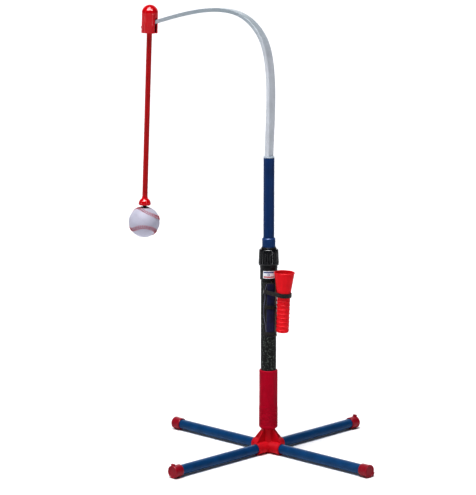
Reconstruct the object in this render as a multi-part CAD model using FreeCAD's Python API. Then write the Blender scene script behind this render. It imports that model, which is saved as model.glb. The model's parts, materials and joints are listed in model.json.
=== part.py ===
"""Batting tee with a four-legged base, a telescopic pole and a hanging-ball arm.

Millimetres. The origin is on the floor under the pole's axis, +Z is up, and the
batter's label on the collar faces -Y. One STEP file is written for each piece.
"""
import FreeCAD, Part
import math
import os
from FreeCAD import Vector

ORIGIN = Vector(0, 0, 0)
X_AXIS = Vector(1, 0, 0)
Y_AXIS = Vector(0, 1, 0)
UP = Vector(0, 0, 1)

PRESS = 0.05                # radial gap of a piece pushed into its seat for good
RUNNING = 0.07              # radial gap of a piece that turns or slides in its seat
AIR = 0.3                   # smallest gap between pieces that only pass each other

# Base: four horizontal legs in a moulded hub
LEG_TURN = 0.84             # the whole cross is turned a little from the diagonals
LEG_AZIMUTHS = {
    "front_right": -45 + LEG_TURN,
    "back_right": 45 + LEG_TURN,
    "back_left": 135 + LEG_TURN,
    "front_left": 225 + LEG_TURN,
}
TAB_ANGLES = {"front_right": -124, "back_right": 0, "back_left": 124, "front_left": 0}
LEG_HEIGHT = 14.2           # the legs' axis above the floor
LEG_RADIUS = 11.0
LEG_WALL = 1.2
LEG_START = 15.0
LEG_REACH = 307.0           # pole axis to the face of an end cap
CAP_LENGTH = 24.0
CAP_RADIUS = 13.5
CAP_FLOOR = 5.0             # thickness of a cap's closed end
CAP_TAB_TOP = 18.0          # leg axis to the flat top of a cap's tab
CAP_TAB_WIDTH = 9.0
CAP_TAB_LENGTH = 4.2
SOCKET_RADIUS = 13.7
SOCKET_END = 42.0
POST_RADIUS = 13.0
WEB_THICKNESS = 3.2
WEB_TOP = 54.0
SPIGOT_BOTTOM = 58.0
SPIGOT_TOP = 120.0
SPIGOT_BORE = 11.5
SPIGOT_BORE_FLOOR = 32.0

# Pole and the grip sleeve round its foot
POLE_RADIUS = 17.5
POLE_BORE = 15.5
POLE_TOP = 428.0
SLEEVE_BOTTOM = 56.0
SLEEVE_TOP = 194.0
SLEEVE_RADIUS = 20.9
SLEEVE_RIB_RADIUS = 21.3
SLEEVE_RIB_COUNT = 8
SLEEVE_RIB_PITCH = 5.7
SLEEVE_RIB_START = 61.5
SLEEVE_FLATS = 8
SLEEVE_FLAT_RADIUS = 20.2
SLEEVE_FLAT_PHASE = -80.0

# Clamp at the top of the pole: collar, split collet and twist nut
COLLAR_BOTTOM = 404.0
COLLAR_TOP = 437.0
COLLAR_RADIUS = 19.9
NECK_RADIUS = 17.2
NECK_TOP = 455.0
NECK_THREAD_PITCH = 4.0
COLLAR_BORE = 15.4
NUT_BOTTOM = COLLAR_TOP + AIR
NUT_TOP = 474.4
NUT_FOOT_RADIUS = 23.1
NUT_HEAD_RADIUS = 21.8
NUT_FLUTES = 24
NUT_FLUTE_RADIUS = 1.7
NUT_FLUTE_DEPTH = 0.9
COLLET_TOP = 478.2
COLLET_TOP_RADIUS = 17.0
COLLET_SLITS = 6
COLLET_SLIT_WIDTH = 1.6
LABEL_THICKNESS = 0.4
LABEL_LOW = 408.5
LABEL_HIGH = 425.7
LABEL_HALF_ANGLE = 41.0

# Telescopic tubes
INNER_RADIUS = 15.0
INNER_BORE = 13.6
INNER_BOTTOM = 126.0
INNER_TOP = 496.0
GUIDE_BOTTOM = SPIGOT_TOP + AIR
GUIDE_PLUG_TOP = 142.0
BUSH_TOP = 499.3
BUSH_BOTTOM = 466.0
MAST_RADIUS = 12.3
MAST_BORE = 11.1
MAST_BOTTOM = 400.0
MAST_TOP = 680.5
PLUG_HEIGHT = 8.0
FOOT_BUSH_HEIGHT = 12.0

# Flexible arm: a flat bar bent in an upright plane through the pole's axis
ARM_AZIMUTH = 144.0
ARM_PATH = [                # (distance from the pole's axis, height) of the bar's middle line
    (0, 684.2), (-1.2, 715), (-2.7, 750), (-4.5, 810), (-3.1, 862), (2.7, 905), (14.2, 940.2),
    (39.1, 973.4), (75.4, 996.8), (128.3, 1006.7), (198.5, 1002), (263.9, 988.8), (330.7, 971.7),
]
ARM_STATIONS = 30
ARM_SECTIONS = [            # (share of the length, thickness in the bending plane, width)
    (0.0, 11.6, 19.9), (0.22, 8.8, 24.5), (0.42, 8.6, 24.0),
    (0.6, 8.5, 18.5), (0.8, 8.5, 12.5), (1.0, 8.5, 6.4),
]
ARM_CORNER = 1.4            # corner radius of the bar's section
TENON_SECTION = (9.0, 15.5)
TENON_BOTTOM = 640.0
SOCKET_BUSH_BOTTOM = 600.0
SOCKET_BUSH_TOP = 684.2

# Swinging head on the arm's tip, in its own frame: origin at the pin, Z along the tether
PIN_REACH = 339.3
PIN_HEIGHT = 969.4
TETHER_LEAN = 2.55          # degrees that the tether leans outwards from plumb
PIN_RADIUS = 2.5
PIN_HALF_LENGTH = 15.0
HEAD_RADIUS = 19.4
HEAD_WALL = 2.6
HEAD_BOTTOM = -21.0
DOME_CENTRE = 25.0
SLOT_WIDTH = 8.0
SLOT_TOP = 14.2             # crown of the slot's round arch
EYE_RADIUS = 7.0
EYE_WIDTH = 12.0
EYE_BLOCK_REACH = 12.5
EYE_BLOCK_THICKNESS = 11.2
PIN_BOSS_RADIUS = 6.0
SCREW_PLACES = [(0.0, 32.0), (11.2, -8.0)]
SCREW_BOSS_RADIUS = 3.4
SCREW_SHANK_RADIUS = 1.5
SCREW_HEAD_RADIUS = 2.8
SCREW_HEAD_HEIGHT = 1.8
SCREW_TIP = 9.0

# Tether, stopper and ball, in the head's frame
ROD_RADIUS = 6.2
ROD_FLANGE_RADIUS = 8.0
ROD_FLANGE_HEIGHT = 3.0
ROD_BOTTOM = -406.0
ROD_FLUTE_RADIUS = 2.4
ROD_FLUTE_OFFSET = 7.1
ROD_PLAIN_END = 9.0
STOPPER_RADIUS = 14.4
STOPPER_TOP = -406.0
STOPPER_BOTTOM = -426.4
STEM_RADIUS = 4.5
STEM_HEAD_RADIUS = 7.2
BALL_CENTRE = -467.2
BALL_RADIUS = 36.5
BALL_COVER = 2.0
STEM_BOTTOM = BALL_CENTRE + 10
GROMMET_RADIUS = 10.5
GROMMET_TOP = -431.0
GROMMET_HEIGHT = 3.4

# Ball cup (tee cone), stored beside the pole
CONE_LENGTH = 138.3
CONE_RIM_RADIUS = 23.2
CONE_NECK_RADIUS = 14.6
CONE_FOOT_RADIUS = 13.9
CONE_NECK_HEIGHT = 82.0
CONE_BORE = MAST_RADIUS + 0.15
CONE_BORE_LENGTH = 75.0
CONE_THROAT = 9.0
CONE_WALL = 1.8
CONE_RIBS = 8
CONE_RIB_PITCH = 9.6
CONE_RIB_PROUD = 0.7
CONE_FOOT = Vector(31.1, -27.5, 287.4)
CONE_RIM = Vector(34.9, -31.5, CONE_FOOT.z + CONE_LENGTH)

# Storage panel strapped to the pole
PANEL_LOW = 273.0
PANEL_HIGH = 398.0
PANEL_ANGLES = (-128.0, 50.0)
FACE_ANGLES = (-105.0, -40.0)
BACKING_THICKNESS = 0.9
FACE_THICKNESS = 0.7
STRAP_ANGLES = (-122.0, -26.0)
STRAP_THICKNESS = 1.1
STRAP_HEIGHT = 8.2
STRAP_MIDDLE = 342.0
STRAP_LOWER = 280.5
STRAP_UPPER = 378.5
STRAP_TILT = 5.5
CUP_STRAP_BORE = 18.75
CUP_STRAP_ENDS = (-127.0, 47.0)
TILT_ROOM = 0.3             # extra bore of the tilted strap round the upright pole
CUP_LOOP_BORE = 17.0


def rod(radius, low, high):
    """Upright cylinder on the pole's axis."""
    return Part.makeCylinder(radius, high - low, Vector(0, 0, low), UP)


def tube(outer, inner, low, high):
    """Upright tube on the pole's axis."""
    return rod(outer, low, high).cut(rod(inner, low - 1, high + 1))


def turned(points):
    """Solid turned about Z from a closed outline of (radius, height) points."""
    corners = [Vector(radius, 0, height) for radius, height in points]
    face = Part.Face(Part.makePolygon(corners + corners[:1]))
    return face.revolve(ORIGIN, UP, 360)


def round_edges(shape, radius, chosen):
    """Fillet the edges for which chosen(edge) is true."""
    edges = [edge for edge in shape.Edges if chosen(edge)]
    return shape.makeFillet(radius, edges)


def ring_edge(height, radius):
    """Test for a full circle of this radius about Z at this height."""
    def test(edge):
        box = edge.BoundBox
        flat = abs(box.ZMin - height) < 0.05 and abs(box.ZMax - height) < 0.05
        return flat and abs(box.XMax - radius) < 0.3 and abs(box.XMin + radius) < 0.3
    return test


def turned_about(shape, axis, degrees, centre=ORIGIN):
    """Copy of a shape turned about an axis through a point."""
    copy = shape.copy()
    copy.rotate(centre, axis, degrees)
    return copy


def sector(outer, inner, low, high, start, end):
    """Curved plate about Z between two azimuths in degrees."""
    plate = Part.makeCylinder(outer, high - low, Vector(0, 0, low), UP, end - start)
    plate = plate.cut(rod(inner, low - 1, high + 1))
    return turned_about(plate, UP, start)


def along_leg(radius, start, end):
    """Cylinder along +X at the legs' height."""
    return Part.makeCylinder(radius, end - start, Vector(start, 0, LEG_HEIGHT), X_AXIS)


# ---------------------------------------------------------------- base

def leg_socket():
    """Socket of the hub for a leg along +X, with the web that braces it."""
    web_outline = [
        Vector(0, 0, WEB_TOP), Vector(POST_RADIUS + 4.5, 0, WEB_TOP),
        Vector(SOCKET_END - 1, 0, LEG_HEIGHT + SOCKET_RADIUS - 0.6),
        Vector(SOCKET_END - 1, 0, LEG_HEIGHT), Vector(0, 0, LEG_HEIGHT),
    ]
    web = Part.Face(Part.makePolygon(web_outline + web_outline[:1]))
    web = web.extrude(Y_AXIS * WEB_THICKNESS)
    web.translate(Y_AXIS * (-WEB_THICKNESS / 2))
    socket = along_leg(SOCKET_RADIUS, 0, SOCKET_END)
    mouth = socket.Edges
    socket = socket.makeChamfer(0.8, [edge for edge in mouth if edge.BoundBox.XMin > SOCKET_END - 0.1])
    return socket.fuse(web)


def base_hub():
    """Moulded hub: flat-footed post, spigot for the pole and four leg sockets."""
    hub = rod(POST_RADIUS, 0, SPIGOT_BOTTOM)
    hub = hub.fuse(rod(POLE_BORE - PRESS, SPIGOT_BOTTOM, SPIGOT_TOP))
    for azimuth in LEG_AZIMUTHS.values():
        hub = hub.fuse(turned_about(leg_socket(), UP, azimuth))
    hub = hub.cut(rod(SPIGOT_BORE, SPIGOT_BORE_FLOOR, SPIGOT_TOP + 1))
    for azimuth in LEG_AZIMUTHS.values():
        bore = along_leg(LEG_RADIUS + PRESS, LEG_START - 0.2, SOCKET_END + 1)
        hub = hub.cut(turned_about(bore, UP, azimuth))
    return hub.removeSplitter()


def leg_tube(azimuth):
    """Straight steel leg."""
    leg_end = LEG_REACH - CAP_FLOOR - 0.5
    leg = along_leg(LEG_RADIUS, LEG_START, leg_end)
    leg = leg.cut(along_leg(LEG_RADIUS - LEG_WALL, LEG_START - 1, leg_end + 1))
    return turned_about(leg, UP, azimuth)


def end_cap(azimuth, tab_angle):
    """Moulded cap on a leg's end, with a flange that stands on the floor and a tab."""
    start = LEG_REACH - CAP_LENGTH
    outline = [
        (0, start), (CAP_RADIUS - 0.7, start), (CAP_RADIUS, start + 1.2),
        (CAP_RADIUS + 0.1, LEG_REACH - 9), (LEG_HEIGHT, LEG_REACH - 4.5),
        (LEG_HEIGHT, LEG_REACH - 1.2), (LEG_HEIGHT - 1.0, LEG_REACH),
        (LEG_HEIGHT - 2.4, LEG_REACH), (LEG_HEIGHT - 3.2, LEG_REACH - 1.1), (0, LEG_REACH - 1.1),
    ]
    cap = turned(outline)
    tab_root = CAP_RADIUS - 1.5
    tab = Part.makeBox(
        CAP_TAB_TOP - tab_root, CAP_TAB_WIDTH, CAP_TAB_LENGTH,
        Vector(tab_root, -CAP_TAB_WIDTH / 2, LEG_REACH - CAP_TAB_LENGTH - 1.0))
    tab = tab.makeFillet(0.9, [edge for edge in tab.Edges if edge.BoundBox.XMin > CAP_TAB_TOP - 0.1])
    cap = cap.fuse(tab)
    notch = Part.makeBox(6, 9, 3.2, Vector(CAP_RADIUS, -4.5, LEG_REACH - 8.4))
    cap = cap.cut(notch)
    bore = Part.makeCylinder(LEG_RADIUS + PRESS, CAP_LENGTH - CAP_FLOOR + 1, Vector(0, 0, start - 1), UP)
    cap = cap.cut(bore)
    # The cap is turned upright: its Z becomes the leg's outward direction
    cap.rotate(ORIGIN, UP, tab_angle)
    cap.rotate(ORIGIN, Y_AXIS, 90)
    cap.rotate(ORIGIN, X_AXIS, 180)
    cap.translate(Vector(0, 0, LEG_HEIGHT))
    return turned_about(cap, UP, azimuth)


# ---------------------------------------------------------------- pole

def lower_sleeve():
    """Grip sleeve round the pole's foot: horizontal ribs below, upright flats above."""
    outline = [(POST_RADIUS + PRESS, SLEEVE_BOTTOM), (16.6, SLEEVE_BOTTOM)]
    outline += [(SLEEVE_RIB_RADIUS, SLEEVE_RIB_START - 0.4)]
    for index in range(SLEEVE_RIB_COUNT):
        base = SLEEVE_RIB_START + index * SLEEVE_RIB_PITCH
        outline += [(SLEEVE_RIB_RADIUS, base + 3.7), (SLEEVE_RIB_RADIUS - 0.8, base + 4.3)]
        outline += [(SLEEVE_RIB_RADIUS - 0.8, base + 5.1), (SLEEVE_RIB_RADIUS, base + 5.7)]
    rib_end = SLEEVE_RIB_START + SLEEVE_RIB_COUNT * SLEEVE_RIB_PITCH
    outline += [(SLEEVE_RIB_RADIUS, rib_end + 0.8), (SLEEVE_RADIUS, rib_end + 2.4)]
    outline += [(SLEEVE_RADIUS, SLEEVE_TOP), (POLE_RADIUS + PRESS, SLEEVE_TOP)]
    outline += [(POLE_RADIUS + PRESS, SPIGOT_BOTTOM), (POST_RADIUS + PRESS, SPIGOT_BOTTOM)]
    sleeve = turned(outline)
    sleeve = round_edges(sleeve, 1.8, ring_edge(SLEEVE_TOP, SLEEVE_RADIUS))
    flat_low = rib_end + 4.0
    flat_high = SLEEVE_TOP - 6.0
    for index in range(SLEEVE_FLATS):
        cutter = Part.makeBox(10, 30, flat_high - flat_low, Vector(SLEEVE_FLAT_RADIUS, -15, flat_low))
        phase = SLEEVE_FLAT_PHASE + 360.0 * index / SLEEVE_FLATS
        sleeve = sleeve.cut(turned_about(cutter, UP, phase))
    return sleeve


def pole_tube():
    """Lower tube of the telescopic pole."""
    return tube(POLE_RADIUS, POLE_BORE, SPIGOT_BOTTOM + 0.2, POLE_TOP)


def collar_body():
    """Collar fixed on the pole's top, with a threaded neck for the twist nut."""
    outline = [
        (POLE_RADIUS + PRESS, COLLAR_BOTTOM), (COLLAR_RADIUS - 0.9, COLLAR_BOTTOM),
        (COLLAR_RADIUS - 0.2, COLLAR_BOTTOM + 0.8), (COLLAR_RADIUS - 0.2, 426.8),
        (COLLAR_RADIUS - 0.7, 427.4), (COLLAR_RADIUS - 0.7, 428.2), (COLLAR_RADIUS, 428.8),
        (COLLAR_RADIUS, COLLAR_TOP - 0.6), (COLLAR_RADIUS - 0.6, COLLAR_TOP), (NECK_RADIUS - 0.9, COLLAR_TOP),
    ]
    threads = int((NECK_TOP - COLLAR_TOP) / NECK_THREAD_PITCH)
    for index in range(threads):
        base = COLLAR_TOP + index * NECK_THREAD_PITCH
        outline += [(NECK_RADIUS - 0.9, base + 1.4), (NECK_RADIUS, base + 2.0)]
        outline += [(NECK_RADIUS, base + 2.8), (NECK_RADIUS - 0.9, base + 3.4)]
    outline += [(NECK_RADIUS - 0.9, NECK_TOP), (COLLAR_BORE, NECK_TOP)]
    outline += [(COLLAR_BORE, POLE_TOP + 0.2), (POLE_RADIUS + PRESS, POLE_TOP + 0.2)]
    return turned(outline)


def collar_label():
    """Blank plate on the front of the collar."""
    surface = COLLAR_RADIUS - 0.2
    start = -90 - LABEL_HALF_ANGLE
    end = -90 + LABEL_HALF_ANGLE
    return sector(surface + LABEL_THICKNESS, surface, LABEL_LOW, LABEL_HIGH, start, end)


def collet():
    """Split collet that the twist nut squeezes onto the inner tube."""
    outline = [
        (INNER_RADIUS + RUNNING, NECK_TOP + PRESS), (19.0, NECK_TOP + PRESS), (19.0, 459.5),
        (COLLET_TOP_RADIUS, NUT_TOP - 1), (COLLET_TOP_RADIUS, COLLET_TOP - 0.8),
        (COLLET_TOP_RADIUS - 0.8, COLLET_TOP), (INNER_RADIUS + RUNNING, COLLET_TOP),
    ]
    ring = turned(outline)
    for index in range(COLLET_SLITS):
        slit = Part.makeBox(12, COLLET_SLIT_WIDTH, 30, Vector(12, -COLLET_SLIT_WIDTH / 2, 459.5))
        ring = ring.cut(turned_about(slit, UP, 30 + 360.0 * index / COLLET_SLITS))
    return ring


def twist_nut():
    """Fluted nut: threaded on the neck below, conical inside over the collet."""
    outline = [
        (NECK_RADIUS + AIR, NUT_BOTTOM), (NUT_FOOT_RADIUS - 0.6, NUT_BOTTOM),
        (NUT_FOOT_RADIUS, NUT_BOTTOM + 0.8), (NUT_FOOT_RADIUS, NUT_BOTTOM + 4),
        (NUT_HEAD_RADIUS, NUT_TOP - 3.2), (NUT_HEAD_RADIUS - 0.7, NUT_TOP - 1.3),
        (NUT_HEAD_RADIUS - 2.2, NUT_TOP), (COLLET_TOP_RADIUS + AIR, NUT_TOP),
        (19.0 + AIR, 459.5 + AIR), (19.0 + AIR, NECK_TOP - 0.4), (NECK_RADIUS + AIR, NECK_TOP - 0.4),
    ]
    nut = turned(outline)
    foot = Vector(NUT_FOOT_RADIUS + NUT_FLUTE_RADIUS - NUT_FLUTE_DEPTH, 0, NUT_BOTTOM + 4.5)
    taper = math.degrees(math.atan2(NUT_FOOT_RADIUS - NUT_HEAD_RADIUS, NUT_TOP - NUT_BOTTOM))
    flute = Part.makeCylinder(NUT_FLUTE_RADIUS, NUT_TOP - NUT_BOTTOM, foot, UP)
    flute.rotate(foot, Y_AXIS, -taper)
    for index in range(NUT_FLUTES):
        nut = nut.cut(turned_about(flute, UP, 360.0 * index / NUT_FLUTES))
    return nut


# ---------------------------------------------------------------- telescopic tubes

def inner_tube():
    """Sliding tube in the pole."""
    return tube(INNER_RADIUS, INNER_BORE, INNER_BOTTOM, INNER_TOP)


def inner_tube_guide():
    """Plug with a flange that guides the inner tube's foot in the pole."""
    return turned([
        (6, GUIDE_BOTTOM), (POLE_BORE - RUNNING - 0.6, GUIDE_BOTTOM), (POLE_BORE - RUNNING, GUIDE_BOTTOM + 0.6),
        (POLE_BORE - RUNNING, INNER_BOTTOM), (INNER_BORE - PRESS, INNER_BOTTOM),
        (INNER_BORE - PRESS, GUIDE_PLUG_TOP), (11.6, GUIDE_PLUG_TOP), (11.6, INNER_BOTTOM), (6, INNER_BOTTOM),
    ])


def reducer_bush():
    """Bush in the inner tube's top, in which the mast turns."""
    bore = MAST_RADIUS + RUNNING
    return turned([
        (bore, BUSH_BOTTOM), (INNER_BORE - PRESS, BUSH_BOTTOM), (INNER_BORE - PRESS, INNER_TOP),
        (INNER_RADIUS, INNER_TOP), (INNER_RADIUS, INNER_TOP + 1.0), (13.3, BUSH_TOP), (bore, BUSH_TOP),
    ])


def thrust_plug():
    """Plug in the inner tube that carries the mast's foot."""
    top = MAST_BOTTOM - AIR
    return tube(INNER_BORE - PRESS, 5.0, top - PLUG_HEIGHT, top)


def mast_tube():
    """Narrow upper tube."""
    return tube(MAST_RADIUS, MAST_BORE, MAST_BOTTOM, MAST_TOP)


def mast_foot_bush():
    """Bearing ring pressed on the mast's foot."""
    return tube(INNER_BORE - RUNNING, MAST_RADIUS + PRESS, MAST_BOTTOM, MAST_BOTTOM + FOOT_BUSH_HEIGHT)


# ---------------------------------------------------------------- arm

def in_arm_plane(shape):
    """Turn a shape built in the XZ plane into the arm's plane."""
    return turned_about(shape, UP, ARM_AZIMUTH)


def arm_section(thickness, width, centre, tangent):
    """Rounded rectangle square to the bar's middle line."""
    radius = ARM_CORNER
    half_t = thickness / 2 - radius
    half_w = width / 2 - radius
    normal = Vector(-tangent.z, 0, tangent.x)
    corners = [(half_t, half_w), (-half_t, half_w), (-half_t, -half_w), (half_t, -half_w)]
    edges = []
    for index, (a, b) in enumerate(corners):
        middle = centre + normal * a + Y_AXIS * b
        starts = [(1, 0), (0, 1), (-1, 0), (0, -1)]
        first = starts[index]
        last = starts[(index + 1) % 4]
        diagonal = (first[0] + last[0], first[1] + last[1])
        half = radius / math.sqrt(2)
        points = [
            middle + normal * first[0] * radius + Y_AXIS * first[1] * radius,
            middle + normal * diagonal[0] * half + Y_AXIS * diagonal[1] * half,
            middle + normal * last[0] * radius + Y_AXIS * last[1] * radius,
        ]
        edges.append(Part.Arc(*points).toShape())
    closed = []
    for index, arc in enumerate(edges):
        following = edges[(index + 1) % 4]
        closed.append(arc)
        joint = following.valueAt(following.FirstParameter)
        closed.append(Part.makeLine(arc.valueAt(arc.LastParameter), joint))
    return Part.Wire(closed)


def arm_curve():
    """Middle line of the bar in the XZ plane."""
    curve = Part.BSplineCurve()
    curve.interpolate([Vector(reach, 0, height) for reach, height in ARM_PATH])
    return curve


def arm_sizes(fraction):
    """Thickness and width of the bar at a fraction of its length."""
    for low, high in zip(ARM_SECTIONS, ARM_SECTIONS[1:]):
        if fraction <= high[0]:
            share = (fraction - low[0]) / (high[0] - low[0])
            return [a + (b - a) * share for a, b in zip(low[1:], high[1:])]
    return ARM_SECTIONS[-1][1:]


def arm_bar():
    """Bent flexible bar, lofted through rounded sections, on a square tenon."""
    curve = arm_curve()
    first = curve.FirstParameter
    span = curve.LastParameter - first
    sections = []
    for index in range(ARM_STATIONS):
        fraction = index / (ARM_STATIONS - 1)
        place = first + span * fraction
        tangent = curve.tangent(place)[0]
        tangent.normalize()
        thickness, width = arm_sizes(fraction)
        sections.append(arm_section(thickness, width, curve.value(place), tangent))
    bar = Part.makeLoft(sections, True, False)
    thickness, width = TENON_SECTION
    tenon = Part.makeBox(
        thickness, width, ARM_PATH[0][1] + 2 - TENON_BOTTOM, Vector(-thickness / 2, -width / 2, TENON_BOTTOM))
    return in_arm_plane(bar.fuse(tenon))


def arm_socket_bush(bar):
    """Bush that seats the bar in the mast's top."""
    bush = rod(MAST_BORE - RUNNING, SOCKET_BUSH_BOTTOM, MAST_TOP + AIR)
    flange = rod(MAST_RADIUS, MAST_TOP + AIR, SOCKET_BUSH_TOP)
    flange = round_edges(flange, 1.0, ring_edge(SOCKET_BUSH_TOP, MAST_RADIUS))
    bush = bush.fuse(flange)
    return bush.cut(bar)


def arm_tip_eye(bar):
    """Knuckle on the bar's tip, with the eye for the head's pin."""
    eye = Part.makeCylinder(EYE_RADIUS, EYE_WIDTH, Vector(0, -EYE_WIDTH / 2, 0), Y_AXIS)
    block = Part.makeBox(
        EYE_BLOCK_REACH, EYE_WIDTH, EYE_BLOCK_THICKNESS,
        Vector(-EYE_BLOCK_REACH, -EYE_WIDTH / 2, -EYE_BLOCK_THICKNESS / 2))
    tip_slope = math.degrees(math.atan2(ARM_PATH[-2][1] - ARM_PATH[-1][1], ARM_PATH[-1][0] - ARM_PATH[-2][0]))
    block.rotate(ORIGIN, Y_AXIS, tip_slope)
    eye = eye.fuse(block)
    eye = eye.cut(Part.makeCylinder(PIN_RADIUS + RUNNING, 40, Vector(0, -20, 0), Y_AXIS))
    eye.translate(Vector(PIN_REACH, 0, PIN_HEIGHT))
    return in_arm_plane(eye).cut(bar)


# ---------------------------------------------------------------- head and tether

def hung(shape):
    """Put a shape built about the pin, with Z along the tether, in its place."""
    copy = shape.copy()
    copy.rotate(ORIGIN, Y_AXIS, -TETHER_LEAN)
    copy.translate(Vector(PIN_REACH, 0, PIN_HEIGHT))
    return in_arm_plane(copy)


def across(radius, low, high, reach=0.0, height=0.0):
    """Cylinder square to the arm's plane in the head's frame."""
    return Part.makeCylinder(radius, high - low, Vector(reach, low, height), Y_AXIS)


def head_solid(radius, bottom):
    """Upright cylinder with a dome."""
    body = rod(radius, bottom, DOME_CENTRE)
    return body.fuse(Part.makeSphere(radius, Vector(0, 0, DOME_CENTRE))).removeSplitter()


def head_shell(side):
    """Half of the head: side is 1 for the half on +Y, -1 for the half on -Y."""
    cavity = head_solid(HEAD_RADIUS - HEAD_WALL, HEAD_BOTTOM + HEAD_WALL)
    shell = head_solid(HEAD_RADIUS, HEAD_BOTTOM).cut(cavity)
    spring = SLOT_TOP - SLOT_WIDTH / 2
    slot = Part.makeBox(
        HEAD_RADIUS + 2, SLOT_WIDTH, spring - HEAD_BOTTOM + 1,
        Vector(-HEAD_RADIUS - 2, -SLOT_WIDTH / 2, HEAD_BOTTOM - 1))
    crown = Part.makeCylinder(SLOT_WIDTH / 2, HEAD_RADIUS + 2, Vector(-HEAD_RADIUS - 2, 0, spring), X_AXIS)
    slot = slot.fuse(crown)
    wall_slot = slot.cut(rod(ROD_RADIUS + 2.2, HEAD_BOTTOM - 2, HEAD_BOTTOM + HEAD_WALL + 0.01))
    shell = shell.cut(wall_slot)
    wall = HEAD_RADIUS - HEAD_WALL / 2
    for boss_radius, (reach, height) in zip((SCREW_BOSS_RADIUS,) * 2, SCREW_PLACES):
        depth = math.sqrt(wall ** 2 - reach ** 2) if height < DOME_CENTRE else wall - 2
        shell = shell.fuse(across(boss_radius, -depth, depth, reach, height))
    pin_boss = across(PIN_BOSS_RADIUS, EYE_WIDTH / 2 + AIR, wall)
    shell = shell.fuse(pin_boss)
    shell = shell.fuse(turned_about(pin_boss, UP, 180))
    shell = shell.cut(across(PIN_RADIUS + PRESS, -PIN_HALF_LENGTH - 0.2, PIN_HALF_LENGTH + 0.2))
    shell = shell.cut(rod(ROD_RADIUS + PRESS, HEAD_BOTTOM - 1, HEAD_BOTTOM + HEAD_WALL + 1))
    for place, (reach, height) in enumerate(SCREW_PLACES):
        seat = screw_seat(place)
        shell = shell.cut(across(SCREW_SHANK_RADIUS, seat, SCREW_TIP + 0.5, reach, height))
        shell = shell.cut(across(SCREW_HEAD_RADIUS + 0.2, -30, seat, reach, height))
    half = Part.makeBox(60, 30, 90, Vector(-30, 0 if side > 0 else -30, -30))
    return hung(shell.common(half))


def screw_seat(place):
    """Y of the face under a screw's head, in the head's frame."""
    reach, height = SCREW_PLACES[place]
    rise = max(0.0, height - DOME_CENTRE)
    surface = math.sqrt(HEAD_RADIUS ** 2 - reach ** 2 - rise ** 2)
    return -surface + SCREW_HEAD_HEIGHT + 0.9


def head_screws():
    """Two screws that close the head."""
    screws = []
    for place, (reach, height) in enumerate(SCREW_PLACES):
        seat = screw_seat(place)
        head = across(SCREW_HEAD_RADIUS, seat - SCREW_HEAD_HEIGHT, seat, reach, height)
        slot_low = Vector(reach - SCREW_HEAD_RADIUS, seat - SCREW_HEAD_HEIGHT, height - 0.35)
        head = head.cut(Part.makeBox(2 * SCREW_HEAD_RADIUS, 0.8, 0.7, slot_low))
        slot_low = Vector(reach - 0.35, seat - SCREW_HEAD_HEIGHT, height - SCREW_HEAD_RADIUS)
        head = head.cut(Part.makeBox(0.7, 0.8, 2 * SCREW_HEAD_RADIUS, slot_low))
        screws.append(head.fuse(across(SCREW_SHANK_RADIUS, seat, SCREW_TIP, reach, height)))
    return hung(Part.makeCompound(screws))


def head_cross_pin():
    """Pin on which the head swings."""
    return hung(across(PIN_RADIUS, -PIN_HALF_LENGTH, PIN_HALF_LENGTH))


def tether_rod():
    """Stiff fluted rod with a flange captive in the head."""
    inside = HEAD_BOTTOM + HEAD_WALL
    bar = rod(ROD_RADIUS, ROD_BOTTOM, inside)
    bar = bar.fuse(rod(ROD_FLANGE_RADIUS, inside, inside + ROD_FLANGE_HEIGHT))
    low = ROD_BOTTOM + ROD_PLAIN_END
    high = HEAD_BOTTOM - ROD_PLAIN_END
    for index in range(4):
        flute = Part.makeCylinder(ROD_FLUTE_RADIUS, high - low, Vector(ROD_FLUTE_OFFSET, 0, low), UP)
        bar = bar.cut(turned_about(flute, UP, 45 + 90 * index))
    bar = bar.cut(rod(2.5, ROD_BOTTOM - 1, ROD_BOTTOM + 14))
    return hung(bar)


def ball_stopper():
    """Mushroom-shaped stopper under the rod."""
    height = STOPPER_TOP - STOPPER_BOTTOM
    steps = 8
    outline = [(2.5 + PRESS, STOPPER_BOTTOM), (STOPPER_RADIUS - 1, STOPPER_BOTTOM)]
    outline += [(STOPPER_RADIUS, STOPPER_BOTTOM + 1.2)]
    for index in range(steps + 1):
        angle = math.radians(80.0 * index / steps)
        radius = STOPPER_RADIUS * math.cos(angle)
        level = STOPPER_BOTTOM + 3.0 + (height - 5.5) * math.sin(angle)
        if radius > ROD_RADIUS + 0.8:
            outline.append((radius, level))
    outline += [(ROD_RADIUS + 0.7, STOPPER_TOP - 2.0), (ROD_RADIUS + 0.2, STOPPER_TOP)]
    outline += [(2.5 + PRESS, STOPPER_TOP)]
    return hung(turned(outline))


def ball_stem():
    """Swivel stem: pressed up through the stopper, with a head captive in the ball."""
    return hung(turned([
        (0, STEM_BOTTOM), (STEM_HEAD_RADIUS, STEM_BOTTOM), (STEM_HEAD_RADIUS, STEM_BOTTOM + 4),
        (STEM_RADIUS, STEM_BOTTOM + 5.5), (STEM_RADIUS, STOPPER_BOTTOM), (2.5, STOPPER_BOTTOM),
        (2.5, ROD_BOTTOM + 12), (0, ROD_BOTTOM + 12),
    ]))


def stem_room():
    """Hollow in the ball for the stem and its head."""
    wide = STEM_HEAD_RADIUS + 0.8
    narrow = STEM_RADIUS + 0.5
    return turned([
        (0, STEM_BOTTOM - 0.5), (wide, STEM_BOTTOM - 0.5), (wide, STEM_BOTTOM + 4.4),
        (narrow, STEM_BOTTOM + 6.2), (narrow, BALL_CENTRE + BALL_RADIUS + 5),
        (0, BALL_CENTRE + BALL_RADIUS + 5),
    ])


def grommet_seat():
    """Room in the ball's top for the grommet."""
    return rod(GROMMET_RADIUS, GROMMET_TOP - GROMMET_HEIGHT, GROMMET_TOP + 10)


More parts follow.
